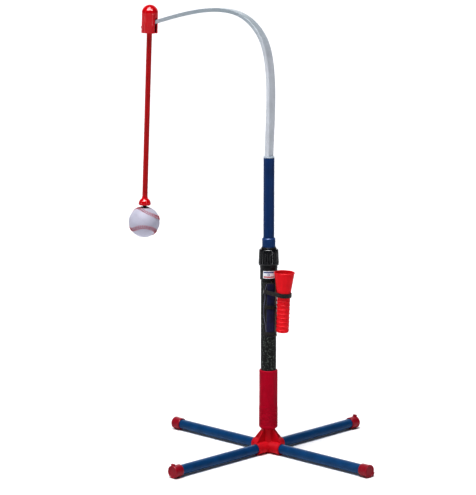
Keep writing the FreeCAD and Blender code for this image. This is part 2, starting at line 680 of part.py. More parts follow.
def ball_core():
    """Soft core of the hanging ball."""
    core = Part.makeSphere(BALL_RADIUS - BALL_COVER, Vector(0, 0, BALL_CENTRE))
    return hung(core.cut(stem_room()).cut(grommet_seat()))


def ball_cover():
    """Cover of the hanging ball, with a seat for the grommet."""
    cover = Part.makeSphere(BALL_RADIUS, Vector(0, 0, BALL_CENTRE))
    cover = cover.cut(Part.makeSphere(BALL_RADIUS - BALL_COVER, Vector(0, 0, BALL_CENTRE)))
    cover = cover.cut(stem_room())
    return hung(cover.cut(grommet_seat()))


def ball_grommet():
    """Flanged ring in the ball's top, in which the stem turns."""
    base = GROMMET_TOP - GROMMET_HEIGHT
    return hung(turned([
        (STEM_RADIUS + RUNNING, base), (GROMMET_RADIUS, base), (GROMMET_RADIUS, GROMMET_TOP - 1.2),
        (GROMMET_RADIUS - 1.4, GROMMET_TOP), (STEM_RADIUS + RUNNING, GROMMET_TOP),
    ]))


# ---------------------------------------------------------------- ball cup and storage

def stored(shape):
    """Put a shape built upright on the origin in the cup's stored place."""
    direction = CONE_RIM - CONE_FOOT
    copy = shape.copy()
    axis = UP.cross(direction)
    copy.rotate(ORIGIN, axis, math.degrees(UP.getAngle(direction)))
    copy.translate(CONE_FOOT)
    return copy


def tee_cone():
    """Ball cup: a flared cup over a ribbed handle that pushes onto the mast."""
    outline = [(CONE_BORE, 0), (CONE_FOOT_RADIUS - 1.2, 0), (CONE_FOOT_RADIUS, 1.2)]
    handle_slope = (CONE_NECK_RADIUS - CONE_FOOT_RADIUS) / CONE_NECK_HEIGHT
    for index in range(CONE_RIBS):
        level = 5.0 + index * CONE_RIB_PITCH
        radius = CONE_FOOT_RADIUS + handle_slope * level
        outline += [(radius, level - 1.6), (radius + CONE_RIB_PROUD, level - 0.7)]
        outline += [(radius + CONE_RIB_PROUD, level + 0.7), (radius, level + 1.6)]
    outline += [(CONE_NECK_RADIUS, CONE_NECK_HEIGHT)]
    outline += [(CONE_RIM_RADIUS - 0.6, CONE_LENGTH - 3.0), (CONE_RIM_RADIUS, CONE_LENGTH - 2.2)]
    outline += [(CONE_RIM_RADIUS, CONE_LENGTH - 0.7), (CONE_RIM_RADIUS - 0.7, CONE_LENGTH)]
    outline += [(CONE_RIM_RADIUS - CONE_WALL, CONE_LENGTH)]
    outline += [(CONE_RIM_RADIUS - CONE_WALL - 0.5, CONE_LENGTH - 1)]
    outline += [(CONE_NECK_RADIUS - CONE_WALL, CONE_NECK_HEIGHT + 2)]
    outline += [(CONE_THROAT, CONE_NECK_HEIGHT - 1), (CONE_THROAT, CONE_BORE_LENGTH)]
    outline += [(CONE_BORE, CONE_BORE_LENGTH)]
    return stored(turned(outline))


def panel_backing():
    """Black backing of the storage panel, round the front of the pole."""
    surface = POLE_RADIUS + PRESS
    return sector(surface + BACKING_THICKNESS, surface, PANEL_LOW, PANEL_HIGH, *PANEL_ANGLES)


def panel_face():
    """Navy face of the storage panel."""
    surface = POLE_RADIUS + PRESS + BACKING_THICKNESS
    return sector(surface + FACE_THICKNESS, surface, PANEL_LOW + 1, PANEL_HIGH - 1, *FACE_ANGLES)


def plain_strap(height):
    """Elastic band over the panel's face, sewn down on the backing at both ends."""
    low = height - STRAP_HEIGHT / 2
    high = height + STRAP_HEIGHT / 2
    on_backing = POLE_RADIUS + 2 * PRESS + BACKING_THICKNESS
    on_face = on_backing + PRESS + FACE_THICKNESS
    start, end = STRAP_ANGLES
    left, right = FACE_ANGLES
    strap = sector(on_face + STRAP_THICKNESS, on_face, low, high, left - 1.5, right + 1.5)
    strap = strap.fuse(sector(on_backing + STRAP_THICKNESS, on_backing, low, high, start, left - 0.3))
    return strap.fuse(sector(on_backing + STRAP_THICKNESS, on_backing, low, high, right + 0.3, end))


def belt(first, first_radius, second, second_radius, height):
    """Solid bounded by two upright cylinders and the planes tangent to both."""
    line = second - first
    distance = line.Length
    heading = math.atan2(line.y, line.x)
    spread = math.acos((first_radius - second_radius) / distance)
    corners = []
    for centre, radius, sign in ((first, first_radius, 1), (second, second_radius, 1),
                                 (second, second_radius, -1), (first, first_radius, -1)):
        angle = heading + sign * spread
        corners.append(centre + Vector(math.cos(angle), math.sin(angle), 0) * radius)
    middle = Part.Face(Part.makePolygon(corners + corners[:1])).extrude(UP * height)
    ends = [Part.makeCylinder(first_radius, height, first, UP)]
    ends.append(Part.makeCylinder(second_radius, height, second, UP))
    return middle.fuse(ends).removeSplitter()


def cup_strap():
    """Elastic band from the backing round the stored cup's neck and back, lower at the cup."""
    low = STRAP_UPPER - STRAP_HEIGHT / 2
    pole_centre = Vector(0, 0, low)
    share = (STRAP_UPPER - 4.2 - CONE_FOOT.z) / CONE_LENGTH
    cup_centre = CONE_FOOT + (CONE_RIM - CONE_FOOT) * share
    cup_centre.z = low
    bore = CUP_STRAP_BORE + TILT_ROOM
    cup_loop = CUP_LOOP_BORE + STRAP_THICKNESS
    outside = belt(pole_centre, bore + STRAP_THICKNESS, cup_centre, cup_loop, STRAP_HEIGHT)
    strap = outside.cut(belt(pole_centre, bore, cup_centre, CUP_LOOP_BORE, STRAP_HEIGHT))
    start, end = CUP_STRAP_ENDS
    strap = strap.cut(sector(bore + 3, bore - 3, low - 1, low + STRAP_HEIGHT + 1, end - 360, start))
    across_line = UP.cross(cup_centre - pole_centre)
    strap.rotate(pole_centre + UP * (STRAP_HEIGHT / 2), across_line, STRAP_TILT)
    return strap


def build():
    """All pieces by node name."""
    bar = arm_bar()
    parts = {
        "base_hub": base_hub(),
        "lower_sleeve": lower_sleeve(),
        "pole_tube": pole_tube(),
        "collar_body": collar_body(),
        "collar_label": collar_label(),
        "collet": collet(),
        "twist_nut": twist_nut(),
        "inner_tube": inner_tube(),
        "inner_tube_guide": inner_tube_guide(),
        "reducer_bush": reducer_bush(),
        "thrust_plug": thrust_plug(),
        "mast_tube": mast_tube(),
        "mast_foot_bush": mast_foot_bush(),
        "arm_bar": bar,
        "arm_socket_bush": arm_socket_bush(bar),
        "arm_tip_eye": arm_tip_eye(bar),
        "head_shell_front": head_shell(1),
        "head_shell_rear": head_shell(-1),
        "head_cross_pin": head_cross_pin(),
        "head_screws": head_screws(),
        "tether_rod": tether_rod(),
        "ball_stopper": ball_stopper(),
        "ball_stem": ball_stem(),
        "ball_core": ball_core(),
        "ball_cover": ball_cover(),
        "ball_grommet": ball_grommet(),
        "tee_cone": tee_cone(),
        "panel_backing": panel_backing(),
        "panel_face": panel_face(),
        "strap_middle": plain_strap(STRAP_MIDDLE),
        "strap_lower": plain_strap(STRAP_LOWER),
        "strap_upper": cup_strap(),
    }
    for name, azimuth in LEG_AZIMUTHS.items():
        parts["leg_tube_" + name] = leg_tube(azimuth)
        parts["end_cap_" + name] = end_cap(azimuth, TAB_ANGLES[name])
    return parts


os.makedirs("parts", exist_ok=True)
for node, shape in build().items():
    shape.exportStep("parts/" + node + ".step")
    solids = len(shape.Solids)
    print(f"{node:24s} valid={shape.isValid()} solids={solids} volume={shape.Volume / 1000:9.3f} cm3")
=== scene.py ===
"""Looks of the batting tee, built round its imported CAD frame. Metres, +Z up, the label faces -Y."""

import json
import math

import bmesh
import bpy
import numpy as np
from mathutils import Euler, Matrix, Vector


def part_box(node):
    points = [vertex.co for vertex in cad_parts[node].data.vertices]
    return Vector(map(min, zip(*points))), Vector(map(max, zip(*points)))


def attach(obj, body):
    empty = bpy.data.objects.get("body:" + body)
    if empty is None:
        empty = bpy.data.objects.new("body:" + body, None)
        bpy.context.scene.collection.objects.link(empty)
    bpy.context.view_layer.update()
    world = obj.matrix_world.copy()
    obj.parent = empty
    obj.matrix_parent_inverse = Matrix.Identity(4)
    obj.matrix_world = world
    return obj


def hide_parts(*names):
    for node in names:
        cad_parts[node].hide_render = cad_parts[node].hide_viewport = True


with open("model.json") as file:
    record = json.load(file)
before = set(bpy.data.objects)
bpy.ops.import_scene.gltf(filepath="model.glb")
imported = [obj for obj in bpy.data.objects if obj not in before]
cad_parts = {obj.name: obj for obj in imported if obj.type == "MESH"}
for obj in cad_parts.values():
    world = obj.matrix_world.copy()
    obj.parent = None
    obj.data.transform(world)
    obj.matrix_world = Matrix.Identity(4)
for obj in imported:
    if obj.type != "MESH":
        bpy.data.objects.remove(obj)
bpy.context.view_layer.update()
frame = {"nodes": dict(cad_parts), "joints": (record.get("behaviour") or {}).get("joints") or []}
NODES = frame["nodes"]
JOINTS = {joint["name"]: joint for joint in frame["joints"]}

MM = 0.001


# ---------------------------------------------------------------- camera, floor and light

def add_camera():
    """Long lens at chest height, looking slightly down at the tee."""
    data = bpy.data.cameras.new("camera")
    data.lens = 144.9
    data.clip_end = 60
    camera = bpy.data.objects.new("camera", data)
    camera.location = (-0.0696, -4.4445, 1.2243)
    camera.rotation_euler = (math.radians(80.45), 0, 0)
    bpy.context.scene.collection.objects.link(camera)
    bpy.context.scene.camera = camera


def aim(light, place, target):
    """Put a light somewhere and face it to a point."""
    light.location = place
    light.rotation_euler = (Vector(target) - Vector(place)).to_track_quat("-Z", "Y").to_euler()
    bpy.context.scene.collection.objects.link(light)


def add_area_light(name, place, target, size, power, highlight):
    """Soft rectangular light, size being width and height, for highlights or else for fill."""
    data = bpy.data.lights.new(name, "AREA")
    data.shape = "RECTANGLE"
    data.size, data.size_y = size
    data.energy = power
    light = bpy.data.objects.new(name, data)
    light.visible_diffuse = not highlight
    light.visible_glossy = highlight
    light.visible_camera = False
    aim(light, place, target)


def add_sun(name, place, strength, spread):
    """Far soft light whose rays come from a direction."""
    data = bpy.data.lights.new(name, "SUN")
    data.energy = strength
    data.angle = math.radians(spread)
    aim(bpy.data.objects.new(name, data), place, (0, 0, 0))


def add_studio():
    """Pale floor, pale surroundings and soft lights."""
    world = bpy.data.worlds.new("studio")
    world.use_nodes = True
    background = world.node_tree.nodes["Background"]
    background.inputs["Color"].default_value = (0.86, 0.9, 1.0, 1)
    tree = world.node_tree
    rays = tree.nodes.new("ShaderNodeLightPath")
    seen = tree.nodes.new("ShaderNodeMapRange")     # plain white to the camera, faint fill otherwise
    seen.inputs["To Min"].default_value = 0.1
    seen.inputs["To Max"].default_value = 1.2
    tree.links.new(rays.outputs["Is Camera Ray"], seen.inputs["Value"])
    tree.links.new(seen.outputs["Result"], background.inputs["Strength"])
    bpy.context.scene.world = world
    settings = bpy.context.scene.view_settings
    settings.view_transform = "Standard"
    settings.look = "High Contrast"
    add_sun("overhead", (-0.3, -0.7, 2.4), 2.5, 35)
    add_area_light("top_softbox", (-0.2, -0.9, 2.3), (-0.1, 0, 0.6), (2.6, 0.8), 80, True)
    add_area_light("front_left", (-1.5, -2.6, 1.7), (0, 0, 0.5), (0.5, 1.4), 6, False)
    add_area_light("right_strip", (1.45, -1.75, 0.9), (0, 0, 0.6), (0.04, 1.7), 6, True)
    add_area_light("left_strip", (-2.2, -0.6, 0.9), (0, 0, 0.6), (0.12, 1.7), 4, True)
    add_area_light("back_panel", (0, 3.5, 1.9), (0, 0, 1.2), (7, 3), 80, True)
    half = 60.0
    level = -0.0006
    mesh = bpy.data.meshes.new("floor")
    corners = [(-half, -half, level), (half, -half, level), (half, half, level), (-half, half, level)]
    mesh.from_pydata(corners, [], [(0, 1, 2, 3)])
    floor = bpy.data.objects.new("floor", mesh)
    bpy.context.scene.collection.objects.link(floor)
    paint = Paint("floor_white", (250, 250, 251), roughness=0.9)
    floor.data.materials.append(paint.material)


# ---------------------------------------------------------------- materials

def linear(colour):
    """Display colour (0 to 255) as linear RGBA."""
    channels = [c / 255 for c in colour]
    return [c / 12.92 if c <= 0.04045 else ((c + 0.055) / 1.055) ** 2.4 for c in channels] + [1.0]


def scaled(colour, factor):
    """Display colour made lighter or darker."""
    return tuple(min(255, c * factor) for c in colour)


class Paint:
    """A Principled material with helpers that add procedural detail in object coordinates."""

    def __init__(self, name, colour, roughness=0.5, specular=0.3):
        self.material = bpy.data.materials.new(name)
        self.material.use_nodes = True
        self.tree = self.material.node_tree
        self.shader = self.tree.nodes["Principled BSDF"]
        self.shader.inputs["Base Color"].default_value = linear(colour)
        self.shader.inputs["Roughness"].default_value = roughness
        self.shader.inputs["Specular IOR Level"].default_value = specular
        self.colour = colour
        self.place = self.tree.nodes.new("ShaderNodeTexCoord").outputs["Object"]
        self.heights = []

    def set(self, **values):
        for name, value in values.items():
            self.shader.inputs[name.replace("_", " ").title()].default_value = value
        return self

    def node(self, kind, **settings):
        made = self.tree.nodes.new(kind)
        for name, value in settings.items():
            setattr(made, name, value)
        return made

    def link(self, source, target):
        self.tree.links.new(source, target)

    def stretched(self, stretch):
        """Object coordinates scaled by a vector."""
        mapping = self.node("ShaderNodeMapping")
        mapping.inputs["Scale"].default_value = stretch
        self.link(self.place, mapping.inputs["Vector"])
        return mapping.outputs["Vector"]

    def noise(self, scale, detail=3.0, rough=0.55, stretch=None):
        made = self.node("ShaderNodeTexNoise")
        made.inputs["Scale"].default_value = scale
        made.inputs["Detail"].default_value = detail
        made.inputs["Roughness"].default_value = rough
        self.link(self.stretched(stretch) if stretch else self.place, made.inputs["Vector"])
        return made.outputs["Fac"]

    def cells(self, scale):
        made = self.node("ShaderNodeTexVoronoi", feature="F1")
        made.inputs["Scale"].default_value = scale
        self.link(self.place, made.inputs["Vector"])
        return made.outputs["Distance"]

    def math(self, operation, first, second=None):
        made = self.node("ShaderNodeMath", operation=operation)
        for socket, value in zip(made.inputs, (first, second)):
            if value is None:
                continue
            if isinstance(value, (int, float)):
                socket.default_value = value
            else:
                self.link(value, socket)
        return made.outputs["Value"]

    def spread(self, source, low, high, to_low=0.0, to_high=1.0):
        """Source from low to high mapped to another range, clamped."""
        made = self.node("ShaderNodeMapRange")
        for name, value in (("From Min", low), ("From Max", high), ("To Min", to_low), ("To Max", to_high)):
            made.inputs[name].default_value = value
        self.link(source, made.inputs["Value"])
        return made.outputs["Result"]

    def tint(self, factor, colour):
        """Mix the base colour towards a colour by a factor."""
        made = self.node("ShaderNodeMix", data_type="RGBA")
        self.link(factor, made.inputs["Factor"])
        target = self.shader.inputs["Base Color"]
        if target.is_linked:
            self.link(target.links[0].from_socket, made.inputs["A"])
        else:
            made.inputs["A"].default_value = linear(self.colour)
        made.inputs["B"].default_value = linear(colour)
        self.link(made.outputs["Result"], target)
        return self

    def vary_roughness(self, source, low, high):
        self.link(self.spread(source, 0.3, 0.7, low, high), self.shader.inputs["Roughness"])
        return self

    def height(self, source, depth):
        """Add relief: source from 0 to 1 stands for this depth in metres."""
        self.heights.append(self.math("MULTIPLY", source, depth))
        return self

    def finish(self):
        """Join all relief into one bump."""
        if self.heights:
            total = self.heights[0]
            for extra in self.heights[1:]:
                total = self.math("ADD", total, extra)
            bump = self.node("ShaderNodeBump")
            bump.inputs["Strength"].default_value = 1.0
            bump.inputs["Distance"].default_value = 1.0
            self.link(total, bump.inputs["Height"])
            self.link(bump.outputs["Normal"], self.shader.inputs["Normal"])
        return self.material


def moulded(name, colour, roughness=0.42, grain=0.015, mottle=0.08, specular=0.3):
    """Injection-moulded plastic: fine grain, faint clouding, slight scuffs."""
    paint = Paint(name, colour, roughness, specular)
    paint.tint(paint.spread(paint.noise(45, 3), 0.35, 0.75), scaled(colour, 1 - mottle))
    scuffs = paint.noise(160, 5, 0.7, stretch=(1, 1, 0.25))
    paint.tint(paint.spread(scuffs, 0.68, 0.84, 0, 0.2), scaled(colour, 1.3))
    paint.vary_roughness(paint.noise(90, 3), roughness - 0.04, roughness + 0.07)
    paint.height(paint.noise(2200, 2), grain * MM)
    return paint.finish()


def glossy(name, colour, roughness=0.14, specular=0.45):
    """Polished moulded plastic: clean highlights, faint flow marks and fine scratches."""
    paint = Paint(name, colour, roughness, specular)
    paint.tint(paint.spread(paint.noise(35, 3), 0.35, 0.75), scaled(colour, 0.92))
    paint.vary_roughness(paint.noise(120, 3), roughness, roughness + 0.05)
    paint.height(paint.noise(150, 1), 0.012 * MM)
    return paint.finish()


def painted_tube(name, colour):
    """Powder-coated tube: orange peel, satin sheen and faint wear."""
    paint = Paint(name, colour, 0.34, 0.22)
    paint.tint(paint.spread(paint.noise(45, 4), 0.4, 0.75), scaled(colour, 0.88))
    paint.tint(paint.spread(paint.noise(500, 6, 0.75), 0.7, 0.82, 0, 0.3), scaled(colour, 1.4))
    paint.vary_roughness(paint.noise(70, 3), 0.28, 0.4)
    paint.height(paint.noise(900, 2), 0.012 * MM)
    return paint.finish()


def grained_black(name):
    """Black tube with a coarse mottled crackle finish."""
    colour = (18, 19, 19)
    paint = Paint(name, colour, 0.5, 0.3)
    blots = paint.noise(240, 3, 0.6)
    paint.tint(paint.spread(blots, 0.53, 0.63, 0.0, 0.95), (92, 100, 94))
    paint.tint(paint.spread(paint.cells(700), 0.05, 0.3, 0.6, 0.0), (78, 84, 80))
    paint.tint(paint.spread(paint.noise(420, 4, 0.7), 0.52, 0.66, 0, 0.85), (10, 10, 10))
    paint.vary_roughness(paint.noise(400, 3), 0.4, 0.6)
    paint.height(blots, 0.35 * MM)
    paint.height(paint.noise(800, 3), 0.12 * MM)
    return paint.finish()


def smooth_bar(name, colour):
    """Smooth silver-grey flexible bar, with painted shade that darkens it towards the top of its arch."""
    paint = Paint(name, colour, 0.3, 0.4)
    split = paint.node("ShaderNodeSeparateXYZ")
    paint.link(paint.place, split.inputs["Vector"])
    # Painted shade: the bar is tinted darker from 0.9 m up to 1.0 m, over its arch.
    paint.tint(paint.spread(split.outputs["Z"], 0.9, 1.0), (150, 161, 168))
    paint.tint(paint.spread(paint.noise(40, 3), 0.35, 0.75, 0, 0.3), scaled(colour, 0.8))
    paint.tint(paint.spread(paint.noise(240, 5, 0.7), 0.68, 0.82, 0, 0.3), scaled(colour, 0.7))
    paint.vary_roughness(paint.noise(80, 3), 0.26, 0.38)
    paint.height(paint.noise(900, 1), 0.008 * MM)
    return paint.finish()


def bare_steel(name):
    """Zinc-plated steel."""
    paint = Paint(name, (190, 192, 195), 0.35)
    paint.set(metallic=1.0)
    paint.vary_roughness(paint.noise(500, 4), 0.28, 0.45)
    paint.height(paint.noise(1500, 3), 0.02 * MM)
    return paint.finish()


def ball_leather(name):
    """White synthetic leather with fine pores, painted shade in their pits, and faint smudges."""
    colour = (188, 187, 201)
    paint = Paint(name, colour, 0.5, 0.15)
    paint.set(sheen_weight=0.05)
    paint.tint(paint.spread(paint.noise(60, 5, 0.65), 0.5, 0.8, 0, 0.6), (168, 166, 180))
    pores = paint.cells(900)
    # Painted shade: the pits of the pores are darkened.
    paint.tint(paint.spread(pores, 0.0, 0.16, 0.3, 0.0), (148, 145, 160))
    paint.vary_roughness(paint.noise(150, 3), 0.42, 0.6)
    paint.height(pores, 0.06 * MM)
    paint.height(paint.noise(400, 4), 0.05 * MM)
    return paint.finish()


def thread(name, colour):
    """Waxed stitching thread with a twist."""
    paint = Paint(name, colour, 0.6)
    paint.tint(paint.spread(paint.noise(1800, 3), 0.4, 0.7), scaled(colour, 0.75))
    paint.height(paint.noise(3000, 2), 0.05 * MM)
    return paint.finish()


def woven(name, colour, pitch, depth):
    """Plain weave wrapped round the pole: warp along Z, weft round the pole's axis."""
    paint = Paint(name, colour, 0.85)
    paint.set(sheen_weight=0.25, sheen_roughness=0.5)
    split = paint.node("ShaderNodeSeparateXYZ")
    paint.link(paint.place, split.inputs["Vector"])
    around = paint.math("ARCTAN2", split.outputs["Y"], split.outputs["X"])
    reach = 0.0185
    column = paint.math("MULTIPLY", around, reach / pitch * math.pi)
    row = paint.math("MULTIPLY", split.outputs["Z"], math.pi / pitch)
    warp = paint.math("ABSOLUTE", paint.math("SINE", column))
    weft = paint.math("ABSOLUTE", paint.math("SINE", row))
    weave = paint.math("MULTIPLY", warp, weft)
    # Painted shade: the gaps between the threads, where the weave is low, are darkened.
    paint.tint(paint.spread(weave, 0.0, 0.6, 0.75, 0.0), scaled(colour, 0.5))
    paint.tint(paint.spread(paint.noise(150, 4), 0.45, 0.75, 0, 0.5), scaled(colour, 1.35))
    paint.height(weave, depth)
    return paint.finish()


def elastic_weave(name):
    """Black woven elastic: fine lengthwise ribs, with a warm brown cast."""
    colour = (27, 24, 25)
    paint = Paint(name, colour, 0.8)
    paint.set(sheen_weight=0.3, sheen_roughness=0.5)
    split = paint.node("ShaderNodeSeparateXYZ")
    paint.link(paint.place, split.inputs["Vector"])
    rib = paint.math("ABSOLUTE", paint.math("SINE", paint.math("MULTIPLY", split.outputs["Z"], math.pi / MM)))
    around = paint.math("ADD", split.outputs["X"], paint.math("MULTIPLY", split.outputs["Y"], 0.7))
    cross = paint.math("ABSOLUTE", paint.math("SINE", paint.math("MULTIPLY", around, 1.3 * math.pi / MM)))
    weave = paint.math("ADD", paint.math("MULTIPLY", rib, 0.65), paint.math("MULTIPLY", cross, 0.35))
    # Painted shade: the grooves between the ribs, where the weave is low, are darkened.
    paint.tint(paint.spread(weave, 0.2, 0.8, 0.7, 0.0), scaled(colour, 0.4))
    paint.tint(paint.spread(paint.noise(260, 4), 0.45, 0.75, 0, 0.6), (66, 58, 52))
    paint.height(weave, 0.16 * MM)
    return paint.finish()


def label_print(name):
    """Blank white plate with two plain stripes and a ring."""
    paint = Paint(name, (226, 228, 232), 0.32)
    split = paint.node("ShaderNodeSeparateXYZ")
    paint.link(paint.place, split.inputs["Vector"])
    low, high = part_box("collar_label")
    middle = (low.z + high.z) / 2
    rise = paint.math("SUBTRACT", split.outputs["Z"], middle)
    side = paint.math("ABSOLUTE", split.outputs["X"])
    inside = paint.math("LESS_THAN", side, 11.5 * MM)
    for centre, colour in ((5.2 * MM, (30, 55, 120)), (-5.2 * MM, (185, 40, 50))):
        away = paint.math("ABSOLUTE", paint.math("SUBTRACT", rise, centre))
        stripe = paint.math("LESS_THAN", away, 1.3 * MM)
        paint.tint(paint.math("MULTIPLY", stripe, inside), colour)
    reach = paint.math("SQRT", paint.math("ADD", paint.math("POWER", split.outputs["X"], 2.0),
                                          paint.math("POWER", rise, 2.0)))
    ring = paint.math("LESS_THAN", paint.math("ABSOLUTE", paint.math("SUBTRACT", reach, 2.2 * MM)), 0.5 * MM)
    paint.tint(ring, (30, 55, 120))
    paint.height(paint.noise(900, 2), 0.01 * MM)
    return paint.finish()


def paint_nodes(names, material):
    """Give CAD nodes a material."""
    for name in names:
        slots = NODES[name].data.materials
        slots.clear()
        slots.append(material)


LEGS = ("front_right", "back_right", "back_left", "front_left")


def paint_frame():
    """Materials of every CAD node."""
    leg_blue = painted_tube("leg_blue_paint", (18, 74, 118))
    mast_blue = painted_tube("mast_blue_paint", (10, 56, 106))
    tube_blue = painted_tube("tube_blue_paint", (14, 62, 112))
    black = moulded("black_plastic", (20, 21, 24), 0.3, 0.01, 0.15)
    nut_black = glossy("nut_black_plastic", (17, 18, 22), 0.14, 0.5)
    dull_black = moulded("dull_black_plastic", (22, 22, 23), 0.55, 0.04, 0.2)
    white = moulded("white_plastic", (176, 186, 196), 0.45, 0.02, 0.05)
    head_red = glossy("head_red_plastic", (206, 16, 32), 0.08, 0.4)
    rod_red = glossy("rod_red_plastic", (180, 16, 24), 0.3, 0.25)
    steel = bare_steel("zinc_steel")
    paint_nodes(["leg_tube_" + leg for leg in LEGS], leg_blue)
    paint_nodes(["inner_tube"], tube_blue)
    paint_nodes(["mast_tube"], mast_blue)
    paint_nodes(["reducer_bush"], moulded("blue_plastic", (24, 66, 122), 0.4, 0.02, 0.1))
    paint_nodes(["base_hub"], moulded("hub_red_plastic", (196, 26, 44), 0.42, specular=0.15))
    paint_nodes(["end_cap_" + leg for leg in LEGS], moulded("cap_red_plastic", (152, 16, 42), 0.34))
    paint_nodes(["lower_sleeve"], moulded("crimson_plastic", (178, 0, 48), 0.5, specular=0.12))
    paint_nodes(["pole_tube"], grained_black("black_grain"))
    paint_nodes(["twist_nut"], nut_black)
    paint_nodes(["collar_body", "collet", "ball_stem", "ball_grommet"], black)
    paint_nodes(["inner_tube_guide", "thrust_plug", "mast_foot_bush"], dull_black)
    paint_nodes(["arm_bar"], smooth_bar("silver_grey_bar", (202, 206, 212)))
    paint_nodes(["arm_socket_bush", "arm_tip_eye"], white)
    paint_nodes(["head_shell_front", "head_shell_rear", "ball_stopper"], head_red)
    paint_nodes(["tether_rod"], rod_red)
    paint_nodes(["head_cross_pin", "head_screws"], steel)
    paint_nodes(["collar_label"], label_print("label_print"))
    paint_nodes(["tee_cone"], moulded("cup_red_plastic", (228, 38, 50), 0.42, 0.012, 0.06, 0.12))
    paint_nodes(["ball_core"], thread("wound_core", (200, 190, 165)))


# ---------------------------------------------------------------- meshes

def new_piece(name, vertices, faces, material):
    """Smooth-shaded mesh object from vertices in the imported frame, in metres."""
    mesh = bpy.data.meshes.new(name)
    mesh.from_pydata([tuple(v) for v in vertices], [], faces)
    mesh.validate()
    mesh.shade_smooth()
    piece = bpy.data.objects.new(name, mesh)
    bpy.context.scene.collection.objects.link(piece)
    mesh.materials.append(material)
    return piece


SHARP_EDGE = 32.0           # degrees between faces above which an edge is rounded


def soften(names, width):
    """Round the sharp edges of CAD nodes with a bevel."""
    for name in names:
        node = NODES[name]
        weld = node.modifiers.new("weld", "WELD")
        weld.merge_threshold = 0.002 * MM
        bevel = node.modifiers.new("round", "BEVEL")
        bevel.width = width
        bevel.segments = 2
        bevel.limit_method = "ANGLE"
        bevel.angle_limit = math.radians(SHARP_EDGE)
        bevel.harden_normals = False


# ---------------------------------------------------------------- ball

BALL_RADIUS = 36.5 * MM
SEAM_SPREAD = 0.44
SEAM_POINTS = 880
STITCHES = 88
GROMMET_REACH = 9.0 * MM    # the cover is sunk under the grommet out to here
STITCH_FREE_REACH = 12.5 * MM
GROMMET_SINK = 1.2 * MM
COVER_INSET = 0.1 * MM
GROOVE_DEPTH, GROOVE_WIDTH = 0.55 * MM, 0.7 * MM
WELT_HEIGHT, WELT_REACH, WELT_WIDTH = 0.3 * MM, 2.2 * MM, 1.4 * MM
SEAM_BLOCK = 110            # seam points compared with the cover at once


def ball_frame():
    """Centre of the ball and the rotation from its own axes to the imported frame."""
    joint = JOINTS["ball_spin"]
    axis = Vector(joint["axis"]).normalized()
    turn = axis.to_track_quat("Z", "Y").to_matrix()
    return Vector(joint["pos_m"]), turn


def seam_curve(count):
    """Points on the unit ball along the seam."""
    t = np.linspace(0, 4 * math.pi, count, endpoint=False)
    down = math.pi / 2 - (math.pi / 2 - SEAM_SPREAD) * np.cos(t)
    turn = t / 2 + SEAM_SPREAD * np.sin(2 * t)
    return np.stack([np.sin(down) * np.cos(turn), np.sin(down) * np.sin(turn), np.cos(down)], 1)


def even(points, count):
    """The same closed line with evenly spaced points."""
    closed = np.vstack([points, points[:1]])
    steps = np.linalg.norm(np.diff(closed, axis=0), axis=1)
    along = np.concatenate([[0], np.cumsum(steps)])
    wanted = np.linspace(0, along[-1], count, endpoint=False)
    return np.stack([np.interp(wanted, along, closed[:, k]) for k in range(3)], 1)


SEAM_TURN = Euler([math.radians(a) for a in (-84.8, 67.3, -127.6)])


def add_ball():
    """Ball cover with a sunk seam and its stitches."""
    centre, turn = ball_frame()
    orient = np.array(SEAM_TURN.to_matrix())
    seam = even(seam_curve(4000), SEAM_POINTS)
    grown = bmesh.new()
    bmesh.ops.create_icosphere(grown, subdivisions=6, radius=1.0)
    grown.verts.ensure_lookup_table()
    directions = np.array([v.co[:] for v in grown.verts])
    faces = [[v.index for v in f.verts] for f in grown.faces]
    grown.free()
    nearest = np.full(len(directions), 4.0)
    for start in range(0, SEAM_POINTS, SEAM_BLOCK):
        block = seam[start:start + SEAM_BLOCK]
        distance = np.linalg.norm(directions[:, None, :] - block[None, :, :], axis=2).min(1)
        nearest = np.minimum(nearest, distance)
    away = nearest * BALL_RADIUS
    groove = -GROOVE_DEPTH * np.exp(-(away / GROOVE_WIDTH) ** 2)
    welt = WELT_HEIGHT * np.exp(-((away - WELT_REACH) / WELT_WIDTH) ** 2)
    radii = BALL_RADIUS - COVER_INSET + groove + welt
    own = directions @ orient.T
    up = np.array(turn)[:, 2]
    under_grommet = (own @ up) > math.cos(GROMMET_REACH / BALL_RADIUS)
    radii = np.where(under_grommet, radii - GROMMET_SINK, radii)
    vertices = own * radii[:, None] + np.array(centre)
    cover = new_piece("ball_leather", vertices, faces, ball_leather("ball_leather"))
    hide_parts("ball_cover")
    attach(cover, "ball")
    add_stitches(seam, orient, np.array(centre), up)


